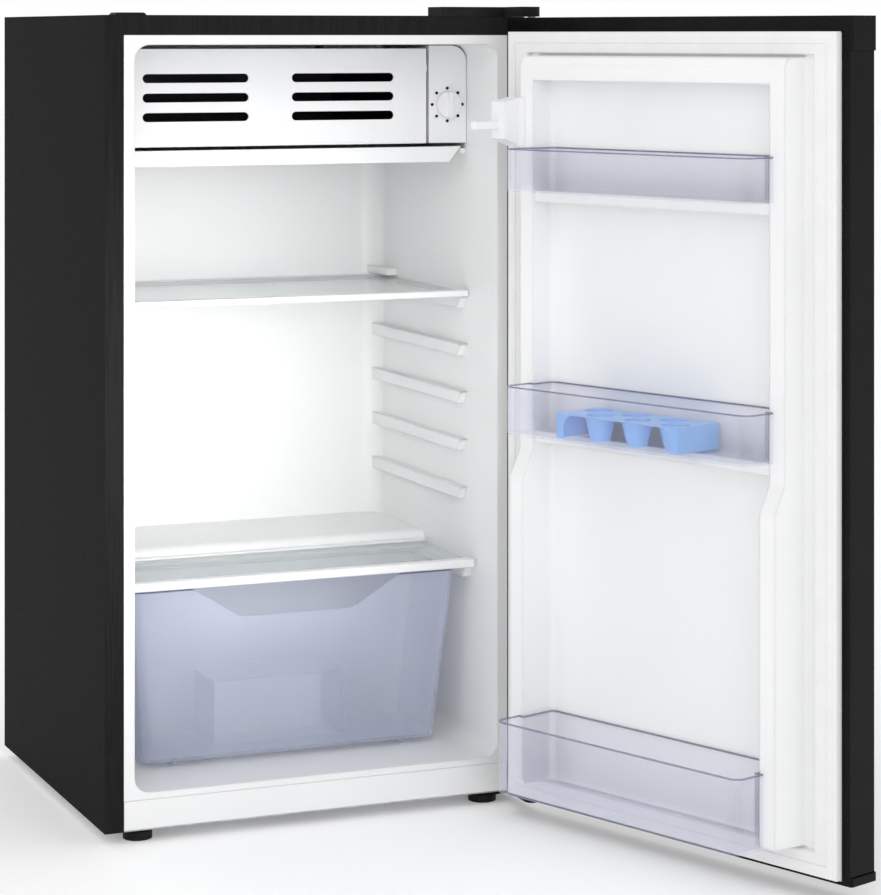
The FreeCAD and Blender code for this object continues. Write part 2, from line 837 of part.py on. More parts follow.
def gasket_magnets():
    low = gasket_base() + gasket_height - magnet_thickness - 1
    return gasket_ring(2.5, magnet_width, magnet_width, low, low + magnet_thickness)


def door_gasket():
    base = gasket_base()
    lip = gasket_ring(0, gasket_lip_width, gasket_lip_width, base, base + gasket_height)
    start = gasket_lip_width - 1
    flap = gasket_ring(start, gasket_width - start, gasket_end_width - start, base, base + gasket_flap)
    return join([lip, flap]).cut(gasket_magnets())


def door_bin(floor, height, reach, crest):
    """A clear bin whose ends pass between the dykes and widen in front of their crests."""
    near = door_near + dyke_inset + dyke_width + 1.5
    far = door_far - dyke_inset - dyke_width - 1.5
    rear = door_back + recess_depth + bin_gap
    ear_rear = door_back + crest + bin_gap
    z0 = floor + bin_gap

    def form(gap, low, high):
        core = door_box(near + gap, far - gap, rear + gap, reach - gap, low, high)
        core = round_edges(core, recess_radius, Z, lambda middle: middle.y < hinge_y + rear + gap + 1)
        ears = door_box(near - bin_ear + gap, far + bin_ear - gap, ear_rear + gap, reach - gap, low, high)
        return round_edges(join([core, ears]), bin_radius - gap, Z,
                           lambda middle: middle.y > hinge_y + reach - gap - 1)

    return form(0, z0, z0 + height).cut(form(bin_wall, z0 + bin_wall, z0 + height))


def door_bumper():
    """The white block on the hinge side's dyke and its short peg."""
    u0 = door_near + dyke_inset - 19
    base = door_back + dyke_height
    u1 = u0 + bumper_width
    block = prism([(hinge_x - u1, hinge_y + base, bumper_bottom),
                   (hinge_x - u1, hinge_y + bumper_reach, bumper_bottom + 8),
                   (hinge_x - u1, hinge_y + bumper_reach, bumper_bottom + bumper_height),
                   (hinge_x - u1, hinge_y + base, bumper_bottom + bumper_height + 4)], (bumper_width, 0, 0))
    foot_plate = door_box(u0, door_near + dyke_inset + 8, base, base + 3, bumper_bottom,
                          bumper_bottom + bumper_height + 4)
    middle = bumper_bottom + 22
    peg = door_box(u0 + 4, u0 + 4 + peg_width, bumper_reach - 2, peg_reach,
                   middle - peg_width / 2, middle + peg_width / 2)
    return join([block, foot_plate, peg])


def egg_cup_centres():
    """Cups in two rows, each set halfway between two of the other row."""
    pitch = (egg_tray_length - 2 * egg_cup_radius - 4) / (egg_cups - 1)
    middle = (door_back + recess_depth + bins["door_bin_middle"]["reach"]) / 2
    offset = egg_tray_width / 2 - egg_cup_radius - 2
    centres = []
    for number in range(egg_cups):
        u = egg_tray_start + egg_cup_radius + 2 + number * pitch
        centres.append((u, middle + (offset if number % 2 else -offset)))
    return middle, centres


def egg_skirt(u, side, v, low, high):
    """A front leg under one end of the tray, running into the plate with a quarter arch."""
    leg_end = u + side * egg_leg
    arch_end = leg_end + side * egg_leg_arch
    leg = door_box(min(u, arch_end), max(u, arch_end), v - egg_wall, v, low, high)
    gap_low = high - egg_leg_arch
    centre = (hinge_x - arch_end, hinge_y + v, gap_low)
    arch = rod(egg_leg_arch, (centre[0], hinge_y + v - egg_wall, gap_low), centre)
    below = door_box(min(leg_end, arch_end), max(leg_end, arch_end), v - egg_wall, v, low, gap_low)
    return leg.cut([arch, below])


def egg_tray():
    """A plate with six hanging cups, a panel at each end and an arched leg at each front corner."""
    floor = bins["door_bin_middle"]["floor"] + bin_gap + bin_wall + 0.3
    plate_low = floor + egg_cup_depth
    middle, centres = egg_cup_centres()
    half = egg_tray_width / 2
    plate = door_box(egg_tray_start, egg_tray_start + egg_tray_length, middle - half, middle + half,
                     plate_low, plate_low + egg_wall)
    cups = []
    hollows = []
    for u, v in centres:
        x = hinge_x - u
        y = hinge_y + v
        cups.append(Part.makeCone(egg_cup_radius * 0.6, egg_cup_radius, egg_cup_depth + egg_wall,
                                  FreeCAD.Vector(x, y, floor)))
        hollows.append(Part.makeCone(egg_cup_radius * 0.6 - egg_wall, egg_cup_radius - egg_wall,
                                     egg_cup_depth, FreeCAD.Vector(x, y, floor + egg_wall)))
    end = egg_tray_start + egg_tray_length
    ends = [door_box(u, u + egg_wall, middle - half, middle + half, floor, plate_low + 0.5)
            for u in (egg_tray_start, end - egg_wall)]
    skirts = [egg_skirt(egg_tray_start, 1, middle + half, floor, plate_low + 0.5),
              egg_skirt(end, -1, middle + half, floor, plate_low + 0.5)]
    return join([plate] + cups + ends + skirts).cut(hollows)


# Hinges

def top_hinge_bracket():
    low = pocket_floor
    high = low + plate_steel
    right = hinge_x + hinge_tongue_radius
    plate = box(hinge_plate_left, right, front + 5, front + hinge_plate_depth + 4, low, high)
    tongue = box(hinge_x - tongue_half, right, hinge_y, front + 6, low, high)
    corner = box(hinge_x - tongue_half, hinge_x, hinge_y - hinge_tongue_radius, hinge_y, low, high)
    whole = join([plate, tongue, corner, hinge_rod(hinge_tongue_radius, low, high)])
    return whole.cut(screw_shanks() + [hinge_rod(pin_radius, low, high)])


def top_hinge_pin():
    high = pocket_floor + plate_steel
    return join([hinge_rod(pin_radius, door_top - bush_length + 1, high), hinge_rod(6, high, high + 2)])


def hinge_screws():
    """Three screws down into the top and two up into the base, each with a flat round head."""
    top = pocket_floor + plate_steel
    bottom = cabinet_bottom - low_plate_steel
    heads = [rod(screw_head_radius, (x, y, top), (x, y, top + screw_head)) for x, y in top_screw_places()]
    heads += [rod(screw_head_radius, (x, y, bottom - screw_head), (x, y, bottom))
              for x, y in low_screw_places()]
    return group([join([head, shank]) for head, shank in zip(heads, screw_shanks())])


def top_hinge_cover():
    """The long low cover over the bracket, with a round nose above the hinge pin."""
    def form(gap, low, high):
        body = box(hinge_cover_left + gap, half_width - 0.5 - gap, front + 0.5 + gap,
                   front + hinge_plate_depth + 7 - gap, low, high)
        nose_half = half_width - 0.5 - hinge_x
        nose = box(hinge_x - tongue_half - 3 + gap, half_width - 0.5 - gap, hinge_y, front + 10 - gap,
                   low, high)
        tip = rod(nose_half - gap, (hinge_x, hinge_y, low), (hinge_x, hinge_y, high))
        bridge = box(hinge_x - tongue_half - 3 + gap, hinge_x, hinge_y - nose_half + gap, hinge_y, low, high)
        return join([body, nose, tip, bridge])

    high = pocket_floor + hinge_cover_height
    shell = form(0, pocket_floor + 0.1, high)
    return shell.cut(form(hinge_cover_wall, pocket_floor + 0.1, high - hinge_cover_wall))


def low_hinge_bracket():
    """The plate under the cabinet's front corner, with the door's lower pin riveted into it."""
    z0 = cabinet_bottom - low_plate_steel
    right = hinge_x + low_tongue_half
    plate = box(foot_x - foot_radius, right, front + low_plate_setback, front + low_plate_depth,
                z0, cabinet_bottom)
    tongue = box(hinge_x - low_tongue_half, right, hinge_y, front + low_plate_setback + 1, z0, cabinet_bottom)
    plate = join([plate, tongue, hinge_rod(low_tongue_half, z0, cabinet_bottom)])
    hole = rod(stud_radius + 2.3, (foot_x, -foot_y, z0), (foot_x, -foot_y, cabinet_bottom))
    pin = hinge_rod(pin_radius, z0, door_bottom + bush_length - 1)
    return join([plate.cut(screw_shanks() + [hole]), pin])


def low_hinge_washer():
    return ring(9, pin_radius + pin_gap, (hinge_x, hinge_y, cabinet_bottom),
                (hinge_x, hinge_y, door_bottom - 0.3))


def door_bush(z0):
    return ring(bush_radius, pin_radius + pin_gap, (hinge_x, hinge_y, z0),
                (hinge_x, hinge_y, z0 + bush_length))


def hinge_hole_plug():
    left = -half_width + plug_inset
    plug = box(left, left + plug_width, front + 2.5, front + 2.5 + plug_depth,
               pocket_floor, cabinet_top + plug_height)
    return plug.makeChamfer(1.8, [edge for edge in plug.Edges
                                  if edge.CenterOfMass.z > cabinet_top + plug_height - 0.01])


# Cooling system

def compressor():
    """The welded steel pot on its mounting plate."""
    low = compressor_low
    pot = rod(compressor_radius, (compressor_x, compressor_y, low),
              (compressor_x, compressor_y, low + compressor_height))
    pot = pot.makeFillet(compressor_radius * 0.4, [edge for edge in pot.Edges if edge.Closed])
    plate_low = base_top + grommet_height
    plate = box(compressor_x - mount_half_x, compressor_x + mount_half_x, compressor_y - mount_half_y,
                compressor_y + mount_half_y, plate_low, plate_low + mount_plate)
    saddle = rod(compressor_radius * 0.5, (compressor_x, compressor_y, plate_low),
                 (compressor_x, compressor_y, low + 2))
    holes = [rod(3.5, (x, y, plate_low), (x, y, plate_low + mount_plate)) for x, y in mount_places()]
    return join([pot, plate, saddle]).cut(holes + [suction_tube(), discharge_tube()])


def mount_places():
    return [(compressor_x + sx * (mount_half_x - 13), compressor_y + sy * (mount_half_y - 12))
            for sx in (-1, 1) for sy in (-1, 1)]


def compressor_grommets():
    return group([ring(grommet_radius, 3.2, (x, y, base_top), (x, y, base_top + grommet_height))
                  for x, y in mount_places()])


def compressor_bolts():
    high = base_top + grommet_height + mount_plate
    return group([join([rod(3, (x, y, base_top), (x, y, high + 1)), rod(6, (x, y, high), (x, y, high + 4))])
                  for x, y in mount_places()])


def terminal_cover():
    x = compressor_x + compressor_radius
    return box(x + 0.2, x + 30, compressor_y - 26, compressor_y + 26,
               compressor_low + 40, compressor_low + 95)


def cord_gland():
    x, z = gland_centre()
    start = compressor_y + 26
    return ring(gland_radius, gland_bore, (x, start, z), (x, start + gland_length, z))


def gland_centre():
    return compressor_x + compressor_radius + 15, compressor_low + 60


def condenser_y():
    return back + condenser_gap + condenser_tube_radius


def condenser_coil():
    """One long tube folded back and forth across the rear."""
    y = condenser_y()
    half = condenser_half_width
    edges = []
    for row in range(condenser_rows):
        z = condenser_bottom + row * condenser_pitch
        side = 1 if row % 2 == 0 else -1
        edges.append(Part.makeLine(FreeCAD.Vector(-side * half, y, z), FreeCAD.Vector(side * half, y, z)))
        if row < condenser_rows - 1:
            radius = condenser_pitch / 2
            edges.append(Part.Arc(FreeCAD.Vector(side * half, y, z),
                                  FreeCAD.Vector(side * (half + radius), y, z + radius),
                                  FreeCAD.Vector(side * half, y, z + condenser_pitch)).toShape())
    section = Part.Wire(Part.makeCircle(condenser_tube_radius, FreeCAD.Vector(-half, y, condenser_bottom),
                                        FreeCAD.Vector(1, 0, 0)))
    return Part.Wire(edges).makePipeShell([section], True, True)


def condenser_wire_grid():
    y = condenser_y() + condenser_tube_radius + wire_radius + 0.05
    top = condenser_bottom + (condenser_rows - 1) * condenser_pitch + 8
    step = 2 * condenser_half_width / (condenser_wires - 1)
    return group([rod(wire_radius, (-condenser_half_width + n * step, y, condenser_bottom - 8),
                      (-condenser_half_width + n * step, y, top)) for n in range(condenser_wires)])


def condenser_clips(coil):
    y = condenser_y()
    rows = (1, condenser_rows - 2)
    places = [(x, condenser_bottom + row * condenser_pitch) for row in rows for x in (-110, 110)]
    return group([box(x - 9, x + 9, back, y + 1, z - 7, z + 7).cut(coil) for x, z in places])


def suction_tube():
    """From the pot up through the insulation and forward into the evaporator."""
    x = compressor_x - compressor_radius - 45
    return pipe([(compressor_x - compressor_radius + 4, compressor_y, compressor_low + 90),
                 (x, compressor_y, compressor_low + 90), (x, compressor_y, bay_top - 20),
                 (x, back - 25, bay_top - 20), (x, back - 25, chiller_bottom + 60),
                 (x, evaporator_rear - 1, chiller_bottom + 60)], suction_radius, 12)


def discharge_tube():
    """From the pot's top, out of the bay and up to the first run of the condenser."""
    y = condenser_y()
    x = compressor_x - 20
    start_y = compressor_y + compressor_radius * 0.5
    end = -condenser_half_width
    level = bay_top - 24
    return pipe([(x, start_y, compressor_low + compressor_height - 10), (x, start_y, level), (x, y, level),
                 (end - 22, y, level), (end - 22, y, condenser_bottom), (end, y, condenser_bottom)],
                condenser_tube_radius, 9)


def drier_place():
    return bay_half - drier_inset, back - 22


def filter_drier():
    x, y = drier_place()
    can = rod(drier_radius, (x, y, drier_low), (x, y, drier_low + drier_length))
    can = can.makeFillet(4, [edge for edge in can.Edges if edge.Closed])
    return can.cut([liquid_tube(), capillary_tube()])


def liquid_tube():
    """From the condenser's last run down to the filter drier."""
    x, y = drier_place()
    cy = condenser_y()
    top = condenser_bottom + (condenser_rows - 1) * condenser_pitch
    side = -condenser_half_width if condenser_rows % 2 == 0 else condenser_half_width
    edge = side + math.copysign(36, side)
    return pipe([(side, cy, top), (edge, cy, top), (edge, cy, bay_top - 50), (edge, y, bay_top - 50),
                 (x, y, bay_top - 50), (x, y, drier_low + drier_length - 6)], condenser_tube_radius, 9)


def capillary_tube():
    """The fine tube from the drier up through the insulation to the evaporator."""
    x, y = drier_place()
    return pipe([(x, y, drier_low + 6), (x, y, 56), (x - 60, y, 56), (x - 60, y, chiller_bottom + 40),
                 (x - 60, evaporator_rear - 1, chiller_bottom + 40)], capillary_radius, 8)


def build():
    fixed = {}
    moving = {}
    suction = suction_tube()
    capillary = capillary_tube()
    lines = [suction, capillary]
    coil = condenser_coil()
    fixed["cabinet_shell"] = cabinet_shell()
    fixed["back_panel"] = back_panel().cut(group(lines))
    fixed["base_plate"] = base_plate()
    fixed["front_plinth"] = plinth_strip()
    fixed["cabinet_foam"] = cabinet_foam(lines)
    fixed["inner_liner"] = inner_liner(lines)
    fixed["compressor_bay_lining"] = bay(steel).cut(bay(0)).cut(group(lines))
    fixed["foot_nuts"] = weld_nuts()
    feet = [foot(x, y) for x, y in foot_places()]
    fixed["foot_front_left"] = feet[0]
    fixed["foot_front_right"] = feet[1]
    fixed["feet_rear"] = group(feet[2:])

    fixed["freezer_flap"] = freezer_flap()
    fixed["flap_hinge_brackets"] = flap_hinge_brackets()
    fixed["evaporator"] = evaporator(lines)
    fixed["evaporator_hangers"] = evaporator_hangers()
    fixed["drip_tray"] = drip_tray()
    fixed["thermostat_box"] = thermostat_box()
    fixed["thermostat_body"] = thermostat_body()
    fixed["thermostat_knob"] = thermostat_knob()
    fixed["sensor_tube"] = sensor_tube()

    shelf_half = room_half - shelf_side_gap
    plate, front_trim, rear_trim = framed_glass(shelf_level + 0.3, shelf_height, shelf_setback,
                                                room_back - shelf_rear_gap, shelf_half)
    fixed["shelf_glass"] = plate
    fixed["shelf_front_trim"] = front_trim
    fixed["shelf_rear_trim"] = rear_trim
    plate, front_trim, rear_trim = framed_glass(cover_level + 0.3, cover_height, cover_setback,
                                                hump_front - 2, room_half - 4)
    fixed["crisper_cover_glass"] = plate
    fixed["crisper_cover_front_trim"] = front_trim
    fixed["crisper_cover_rear_trim"] = rear_trim
    fixed["crisper_drawer"] = crisper_drawer()

    fixed["top_hinge_bracket"] = top_hinge_bracket()
    fixed["top_hinge_pin"] = top_hinge_pin()
    fixed["top_hinge_cover"] = top_hinge_cover()
    fixed["low_hinge_bracket"] = low_hinge_bracket()
    fixed["low_hinge_washer"] = low_hinge_washer()
    fixed["hinge_screws"] = hinge_screws()
    fixed["hinge_hole_plug"] = hinge_hole_plug()

    fixed["compressor"] = compressor()
    fixed["compressor_grommets"] = compressor_grommets()
    fixed["compressor_bolts"] = compressor_bolts()
    fixed["terminal_cover"] = terminal_cover()
    fixed["cord_gland"] = cord_gland()
    fixed["suction_tube"] = suction
    fixed["capillary_tube"] = capillary
    fixed["discharge_tube"] = discharge_tube()
    fixed["liquid_tube"] = liquid_tube()
    fixed["filter_drier"] = filter_drier()
    fixed["condenser_coil"] = coil
    fixed["condenser_wires"] = condenser_wire_grid()
    fixed["condenser_clips"] = condenser_clips(coil)

    moving["door_skin"] = door_skin()
    moving["door_top_cap"] = door_top_cap()
    moving["door_bottom_cap"] = door_bottom_cap()
    moving["door_foam"] = door_foam()
    moving["door_liner"] = door_liner()
    moving["door_gasket"] = door_gasket()
    moving["gasket_magnets"] = gasket_magnets()
    moving["door_bushes"] = group([door_bush(door_bottom), door_bush(door_top - bush_length)])
    moving["door_bumper"] = door_bumper()
    for name, sizes in bins.items():
        moving[name] = door_bin(**sizes)
    moving["egg_tray"] = egg_tray()
    for shape in moving.values():
        shape.rotate(FreeCAD.Vector(hinge_x, hinge_y, 0), FreeCAD.Vector(0, 0, 1), open_angle)
    return {**fixed, **moving}


os.makedirs("parts", exist_ok=True)
for name, shape in build().items():
    shape.exportStep(f"parts/{name}.step")
    print(name, len(shape.Solids), "solid(s)", round(shape.Volume / 1000, 1), "cm3",
          "valid" if shape.isValid() else "NOT VALID")
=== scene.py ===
# %% Load the fixed frame
import json
import math

import bpy
from mathutils import Matrix, Vector

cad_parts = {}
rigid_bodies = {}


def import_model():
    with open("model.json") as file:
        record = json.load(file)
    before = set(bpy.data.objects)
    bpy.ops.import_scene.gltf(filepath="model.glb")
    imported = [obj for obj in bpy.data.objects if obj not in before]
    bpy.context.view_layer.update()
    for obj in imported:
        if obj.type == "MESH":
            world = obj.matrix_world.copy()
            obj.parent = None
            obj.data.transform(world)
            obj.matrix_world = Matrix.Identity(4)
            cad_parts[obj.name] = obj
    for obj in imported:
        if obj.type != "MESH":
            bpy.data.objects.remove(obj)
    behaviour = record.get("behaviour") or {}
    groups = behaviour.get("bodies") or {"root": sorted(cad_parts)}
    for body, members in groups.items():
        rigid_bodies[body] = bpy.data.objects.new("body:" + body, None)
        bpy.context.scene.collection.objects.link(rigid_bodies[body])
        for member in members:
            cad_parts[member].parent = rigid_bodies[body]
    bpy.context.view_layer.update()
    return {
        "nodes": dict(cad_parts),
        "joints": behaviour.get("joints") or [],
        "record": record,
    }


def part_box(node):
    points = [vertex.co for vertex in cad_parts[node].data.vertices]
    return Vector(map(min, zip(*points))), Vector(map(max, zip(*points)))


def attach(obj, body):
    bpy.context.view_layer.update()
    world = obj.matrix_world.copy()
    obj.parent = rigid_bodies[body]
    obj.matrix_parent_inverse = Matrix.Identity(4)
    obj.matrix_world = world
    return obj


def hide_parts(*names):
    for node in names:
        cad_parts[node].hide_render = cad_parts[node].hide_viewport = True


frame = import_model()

nodes = frame["nodes"]
scene = bpy.context.scene

# %% [markdown]
# # A small fridge with its door open
#
# The frame holds every piece at its real size, in metres, with the front towards -Y and the hinges on the
# right. This lesson gives those pieces their finishes, rounds the edges that a mould or a press would round,
# and models the small details that make a kitchen appliance look real. Nothing of the frame is moved.
#
# ## Camera
# A studio's view camera keeps its back upright, so that an appliance's upright edges stay upright, and drops
# its lens instead of being tilted. Here the level camera hangs from a tripod, and the matrix between the two
# leans its line of sight down by DROP while its picture stays upright.

# %% Camera
EYE = Vector((-1.0651, -3.0578, 0.8188))
TURN = math.radians(-22.8)
DROP = -0.1407
LENS_MM = 118.86
SENSOR_MM = 36.0
tripod = bpy.data.objects.new("tripod", None)
tripod.location = EYE
tripod.rotation_euler = (math.radians(90), 0, TURN)
camera_data = bpy.data.cameras.new("camera")
camera_data.lens = LENS_MM
camera_data.sensor_width = SENSOR_MM
camera = bpy.data.objects.new("camera", camera_data)
camera.parent = tripod
camera.matrix_parent_inverse = Matrix((
    (1, 0, 0, 0),
    (0, 1, -DROP, 0),
    (0, 0, 1, 0),
    (0, 0, 0, 1)))
scene.collection.objects.link(tripod)
scene.collection.objects.link(camera)
scene.camera = camera
print("the eye is", round(EYE.length, 2), "m from the fridge's foot")

# %% [markdown]
# ## Light
# White goods are lit with big soft sources, in front of a white backdrop. The sky gives a fill that is a little
# stronger from above, so that a ledge keeps a soft shade under it. One large panel in front reaches into the
# open cabinet, a weak narrow one lifts its back wall, and one from the left draws the long edges.

# %% Light and floor
SKY_LOW = 0.62
SKY_HIGH = 0.92
scene.view_settings.view_transform = "Standard"
world = bpy.data.worlds.new("studio")
world.use_nodes = True
sky = world.node_tree
backdrop = sky.nodes["Background"]
backdrop.inputs["Color"].default_value = (1.0, 1.0, 1.0, 1.0)
direction = sky.nodes.new("ShaderNodeTexCoord")
split = sky.nodes.new("ShaderNodeSeparateXYZ")
glow = sky.nodes.new("ShaderNodeMapRange")
glow.inputs["From Min"].default_value = -1.0
glow.inputs["To Min"].default_value = SKY_LOW
glow.inputs["To Max"].default_value = SKY_HIGH
seen = sky.nodes.new("ShaderNodeLightPath")
strength = sky.nodes.new("ShaderNodeMix")
strength.inputs["B"].default_value = 1.0
sky.links.new(direction.outputs["Generated"], split.inputs[0])
sky.links.new(split.outputs["Z"], glow.inputs["Value"])
sky.links.new(seen.outputs["Is Camera Ray"], strength.inputs["Factor"])
sky.links.new(glow.outputs["Result"], strength.inputs["A"])
sky.links.new(strength.outputs["Result"], backdrop.inputs["Strength"])
scene.world = world


def soft_panel(name, place, target, size, power, spread=180):
    """A square area light that faces a point."""
    light = bpy.data.lights.new(name, "AREA")
    light.shape = "SQUARE"
    light.size = size
    light.energy = power
    light.spread = math.radians(spread)
    lamp = bpy.data.objects.new(name, light)
    lamp.location = place
    lamp.rotation_euler = (Vector(target) - Vector(place)).to_track_quat("-Z", "Y").to_euler()
    scene.collection.objects.link(lamp)


soft_panel("front_panel", place=(-0.9, -3.4, 1.9), target=(0.0, 0.0, 0.45), size=2.4, power=22)
soft_panel("cabinet_fill", place=(-0.12, -0.8, 0.5), target=(-0.1, 0.2, 0.42), size=0.35, power=0.5, spread=50)
soft_panel("left_panel", place=(-2.6, -1.2, 1.6), target=(0.0, -0.1, 0.5), size=1.2, power=4)


def pick(*pieces):
    """Leaves edit mode and selects only these pieces, the first of them active."""
    if bpy.context.object and bpy.context.object.mode != "OBJECT":
        bpy.ops.object.mode_set(mode="OBJECT")
    bpy.ops.object.select_all(action="DESELECT")
    for piece in pieces:
        piece.select_set(True)
    if pieces:
        bpy.context.view_layer.objects.active = pieces[0]


pick()
FLOOR_RADIUS = 30
bpy.ops.mesh.primitive_circle_add(vertices=96, radius=FLOOR_RADIUS, fill_type="NGON", location=(0, 0, 0))
floor = bpy.context.object
floor.name = "studio_floor"
print("the floor is a disc of", FLOOR_RADIUS, "m radius")

# %% [markdown]
# ## Writing finishes as sums
# A finish is a small network of nodes. Wiring it by hand is slow to read, so one class wraps a socket and lets
# it be used in Python sums, and another makes the material and every node in it.

# %% A socket that can be used in sums
# A Mix node has sockets for numbers, vectors and colours. These are the colour ones.
MIX_A = 6
MIX_B = 7
MIX_RESULT = 2


class Wire:
    """A node's output. An expression on wires adds the Math nodes that work it out."""

    def __init__(self, finish, socket):
        self.finish = finish
        self.socket = socket

    def maths(self, operation, first, second):
        return self.finish.node("ShaderNodeMath", {"operation": operation}, {0: first, 1: second})

    def __add__(self, other):
        return self.maths("ADD", self, other)

    def __mul__(self, other):
        return self.maths("MULTIPLY", self, other)

    def __gt__(self, other):
        return self.maths("GREATER_THAN", self, other)

    def __lt__(self, other):
        return self.maths("LESS_THAN", self, other)


class Finish:
    """A material with one Principled shader. Constants are set straight on the shader's own sockets."""

    def __init__(self, name, **constants):
        self.material = bpy.data.materials.new(name)
        self.material.use_nodes = True
        self.tree = self.material.node_tree
        self.shader = self.tree.nodes["Principled BSDF"]
        for socket, value in constants.items():
            self.set(socket.replace("_", " "), value)

    def set(self, socket, value):
        """Sets one of the shader's sockets to a constant, or links a wire to it."""
        if isinstance(value, Wire):
            self.tree.links.new(value.socket, self.shader.inputs[socket])
        else:
            if isinstance(value, tuple) and len(value) == 3:
                value = (*value, 1.0)
            self.shader.inputs[socket].default_value = value

    def node(self, kind, settings=None, sockets=None, output=0):
        """Any node: its settings first, then the values or wires of its sockets."""
        made = self.tree.nodes.new(kind)
        for key, value in (settings or {}).items():
            if key == "stops":
                ramp = made.color_ramp
                while len(ramp.elements) < len(value):
                    ramp.elements.new(0.5)
                for element, (place, shade) in zip(ramp.elements, value):
                    element.position = place
                    element.color = (*shade, 1.0)
            else:
                setattr(made, key, value)
        for key, value in (sockets or {}).items():
            if isinstance(value, Wire):
                self.tree.links.new(value.socket, made.inputs[key])
            else:
                made.inputs[key].default_value = value
        return Wire(self, made.outputs[output])

    def place(self):
        """The point's own place on the piece, in metres."""
        return self.node("ShaderNodeTexCoord", output="Object")

    def along(self, axis):
        """The point's own X, Y or Z on the piece, in metres."""
        return self.node("ShaderNodeSeparateXYZ", {}, {"Vector": self.place()}, output=axis)

    def noise(self, scale, detail=2.0, roughness=0.5, stretch=None):
        """Soft random values, from 0 to 1, with about scale features in a metre."""
        place = self.place()
        if stretch:
            place = self.node("ShaderNodeMapping", {}, {"Vector": place, "Scale": stretch})
        return self.node("ShaderNodeTexNoise", {},
                         {"Vector": place, "Scale": scale, "Detail": detail, "Roughness": roughness})

    def cells(self, scale):
        """The distance to the nearest of many scattered points."""
        return self.node("ShaderNodeTexVoronoi", {"feature": "F1"}, {"Vector": self.place(), "Scale": scale})

    def ramp(self, value, stops):
        """Colours along a value, from stops of a place and a colour."""
        return self.node("ShaderNodeValToRGB", {"stops": stops}, {"Fac": value})

    def mix(self, factor, first, second):
        """One colour where the factor is 0 and another where it is 1."""
        return self.node("ShaderNodeMix", {"data_type": "RGBA"},
                         {"Factor": factor, MIX_A: first, MIX_B: second}, output=MIX_RESULT)

    def bump(self, height, strength, distance=0.001, edge=0.0):
        """Relief on the surface. With an edge, sharp corners also catch light as if slightly rounded."""
        sockets = {"Height": height, "Strength": strength, "Distance": distance}
        if edge:
            sockets["Normal"] = self.node("ShaderNodeBevel", {"samples": 4}, {"Radius": edge})
        self.set("Normal", self.node("ShaderNodeBump", {}, sockets))


def tones(colour, spread):
    """Two near colours, a little darker and a little lighter, for a ramp's ends."""
    darker = tuple(c * (1 - spread) for c in colour)
    lighter = tuple(min(1.0, c * (1 + spread)) for c in colour)
    return [(0.3, darker), (0.7, lighter)]


print("a wire can be added, multiplied and compared")

# %% [markdown]
# ## Black sheet steel
# The cabinet's sheet is coated with a black film that has a fine leather grain, about a millimetre across. The
# grain is made of scattered cells, broken up by noise, and it only shows as relief and as a change in gloss.

# %% Black finishes
BLACK = (0.008, 0.008, 0.0086)
# A lighter black painted on the front flange as sheen.
FLANGE_SHEEN = (0.017, 0.017, 0.018)
FLANGE_DEPTH = 0.0004
cabinet_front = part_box("cabinet_shell")[0][1]


def leather_black():
    """The coated sheet, with the front flange painted a little lighter in streaks along its length: a painted
    sheen.
    """
    finish = Finish("black_leather_steel", Specular_IOR_Level=0.012)
    grain = finish.cells(620) * 0.7 + finish.noise(900, 3) * 0.5
    flange = finish.along("Y") < cabinet_front + FLANGE_DEPTH
    # The front flange gets a lighter colour than the rest of the sheet: a painted sheen where the fold faces
    # the lights, streaked along its length.
    streaked_sheen = finish.ramp(finish.noise(500, 3, 0.6, (1, 1, 0.03)), tones(FLANGE_SHEEN, 0.2))
    sheet = finish.ramp(grain, tones(BLACK, 0.35))
    finish.set("Base Color", finish.mix(flange, sheet, streaked_sheen))
    finish.set("Roughness", grain * 0.25 + 0.36)
    finish.bump(grain, 0.55, 0.0004, edge=0.0012)
    return finish.material


def gloss_black():
    finish = Finish("black_gloss_plastic", Specular_IOR_Level=0.12)
    haze = finish.noise(35, 4)
    finish.set("Base Color", finish.ramp(haze, tones((0.0035, 0.0035, 0.004), 0.2)))
    finish.set("Roughness", haze * 0.14 + 0.12)
    finish.bump(finish.noise(260, 2), 0.05, 0.0004, edge=0.0012)
    return finish.material


def satin_black():
    finish = Finish("black_satin_plastic", Specular_IOR_Level=0.12)
    spark = finish.noise(1500, 2)
    finish.set("Base Color", finish.ramp(finish.noise(60, 3), tones((0.012, 0.012, 0.0125), 0.3)))
    finish.set("Roughness", spark * 0.2 + 0.4)
    finish.bump(spark, 0.25, 0.0003, edge=0.0006)
    return finish.material


def black_enamel():
    finish = Finish("black_enamel", Specular_IOR_Level=0.4)
    pool = finish.noise(90, 3)
    finish.set("Base Color", finish.ramp(pool, tones((0.012, 0.012, 0.013), 0.25)))
    finish.set("Roughness", pool * 0.2 + 0.22)
    finish.bump(finish.noise(420, 3), 0.18, 0.0005)
    return finish.material


def rubber():
    finish = Finish("black_rubber", Specular_IOR_Level=0.3)
    dust = finish.noise(210, 4)
    finish.set("Base Color", finish.ramp(dust, tones((0.018, 0.018, 0.018), 0.4)))
    finish.set("Roughness", dust * 0.2 + 0.62)
    finish.bump(dust, 0.3, 0.0004)
    return finish.material


print("black sheet, plastics, enamel and rubber are ready")

# %% [markdown]
# ## White mouldings
# The liner is a styrene sheet drawn over a mould: smooth, with a soft sheen and a faint orange peel. The
# injection-moulded pieces are a cooler white with a finer texture, and the door seal is a dull soft vinyl.

# %% White finishes
def white_liner():
    finish = Finish("white_liner", Specular_IOR_Level=0.4)
    tone = finish.noise(9, 3)
    finish.set("Base Color", finish.ramp(tone, tones((0.885, 0.888, 0.89), 0.012)))
    finish.set("Roughness", finish.noise(40, 3) * 0.16 + 0.3)
    finish.bump(finish.noise(190, 2), 0.07, 0.0006, edge=0.0022)
    return finish.material


